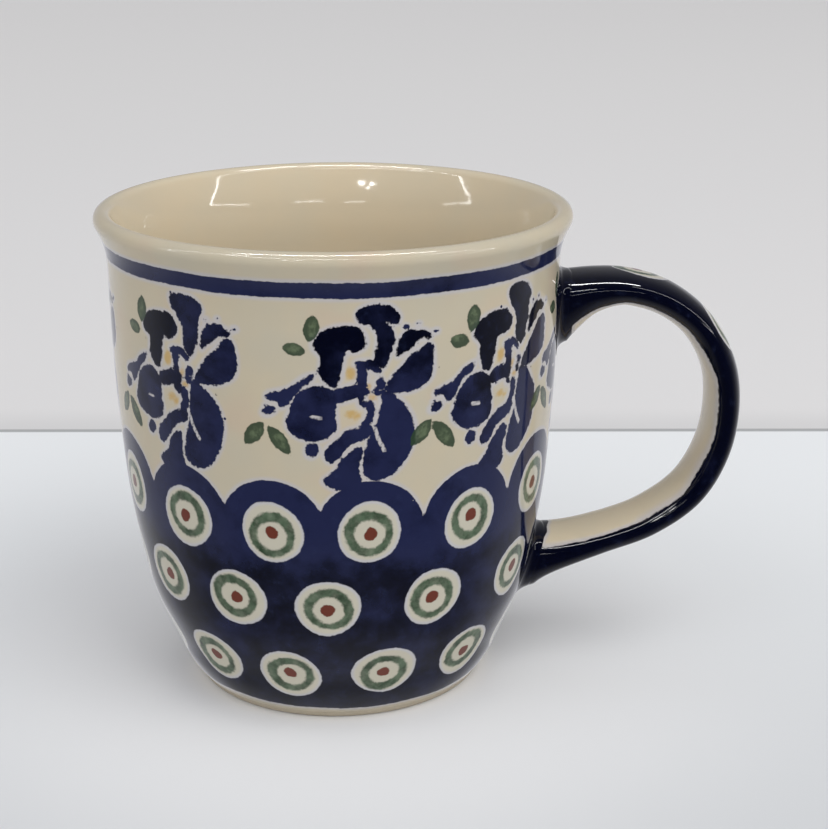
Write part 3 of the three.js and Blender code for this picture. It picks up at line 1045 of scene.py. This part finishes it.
def make_world():
    """Soft room light, stronger from the front and the right. What the gloss mirrors is dark in
    front, where the dim side of the room is, and brightest behind, where the white wall is."""
    world = bpy.data.worlds.new("room")
    world.use_nodes = True
    tree = world.node_tree
    background = tree.nodes["Background"]
    place = tree.nodes.new("ShaderNodeTexCoord")
    split = tree.nodes.new("ShaderNodeSeparateXYZ")
    tree.links.new(place.outputs["Generated"], split.inputs[0])

    def shades(source, stops):
        ramp = tree.nodes.new("ShaderNodeValToRGB")
        tree.links.new(source, ramp.inputs[0])
        ramp.color_ramp.interpolation = "EASE"
        while len(ramp.color_ramp.elements) < len(stops):
            ramp.color_ramp.elements.new(0.5)
        for element, (position, level) in zip(ramp.color_ramp.elements, stops):
            element.position = (position + 1) / 2
            element.color = (level, level, level * 1.02, 1)
        return ramp.outputs[0]

    def moved(source):
        node = tree.nodes.new("ShaderNodeMapRange")
        for k, item in enumerate((-1.0, 1.0, 0.0, 1.0)):
            node.inputs[k + 1].default_value = item
        tree.links.new(source, node.inputs[0])
        return node.outputs[0]

    def joined(kind, first, second, factor=1.0):
        node = tree.nodes.new("ShaderNodeMix")
        node.data_type = "RGBA"
        node.blend_type = kind
        for socket, item in ((node.inputs[0], factor), (node.inputs[6], first),
                             (node.inputs[7], second)):
            if isinstance(item, bpy.types.NodeSocket):
                tree.links.new(item, socket)
            else:
                socket.default_value = item
        return node.outputs[2]

    x, y, z = (moved(split.outputs[k]) for k in range(3))
    lit = joined("MULTIPLY",
                 shades(y, ((-1, 1.2), (-0.3, 1.02), (0.3, 0.62), (1, 0.46))),
                 shades(x, ((-1, 0.94), (0, 0.97), (1, 1.07))))
    mirrored = joined("MULTIPLY",
                      shades(y, ((-1, 0.03), (-0.6, 0.05), (-0.1, 0.19), (0.35, 0.38), (1, 0.72))),
                      shades(z, ((-1, 0.8), (-0.5, 0.95), (-0.2, 1), (0.05, 0.6), (0.25, 0.35),
                                 (1, 0.4))))
    near_table = shades(z, ((-1, 0.42), (-0.9, 0.32), (-0.7, 0.15), (-0.5, 0.04), (-0.35, 0)))
    mirrored = joined("LIGHTEN", mirrored, near_table)
    rays = tree.nodes.new("ShaderNodeLightPath")
    seen = joined("MIX", lit, mirrored, rays.outputs["Is Glossy Ray"])
    tree.links.new(seen, background.inputs["Color"])
    background.inputs["Strength"].default_value = 1.0
    bpy.context.scene.world = world


def make_camera():
    """The viewing angle: a little above the rim, the handle to the right."""
    distance, height, pitch, aside, turned = 0.3511, 0.1637, 17.61, 2.51, 1.07
    lens = bpy.data.cameras.new("camera")
    lens.lens = 80.3
    lens.sensor_width = 36
    lens.clip_start, lens.clip_end = 0.02, 30
    camera = bpy.data.objects.new("camera", lens)
    turn = math.radians(turned)
    camera.location = AXIS + np.array(
        [-distance * math.sin(turn), -distance * math.cos(turn), height])
    camera.rotation_euler = (math.radians(90 - pitch), 0, -math.radians(aside + turned))
    bpy.context.scene.collection.objects.link(camera)
    bpy.context.scene.camera = camera


cup = make_cup()
handle = make_handle()
upper = make_fillet("upper_slip_fillet", "upper_slip_joint", True, (2.6, 2.2), (2.0, 2.6))
lower = make_fillet("lower_slip_fillet", "lower_slip_joint", False, (2.6, 3.2), (1.8, 3.0))
for piece, finish, depth, peel in (
    (cup, "cup_glaze", 0.0, 0.05), (handle, "handle_glaze", 0.6, 0.16),
    (upper, "upper_slip_glaze", 0.6, 0.2), (lower, "lower_slip_glaze", 0.6, 0.2),
):
    piece.data.materials.append(painted_glaze(finish, depth, peel))

make_floor()
make_world()
make_camera()
# The key lamp only lights: its shape would not suit the gloss, which the strips are for.
key = area("key", place=(0.5, -0.6, 1.2), target=(0, 0, 0.03), width=0.9, depth=0.9, power=5)
key.visible_glossy = False
for name, start, end, thickness, power in STRIPS:
    strip(name, start, end, thickness, power)

bpy.context.scene.view_settings.view_transform = "Standard"
bpy.context.scene.view_settings.look = "None"
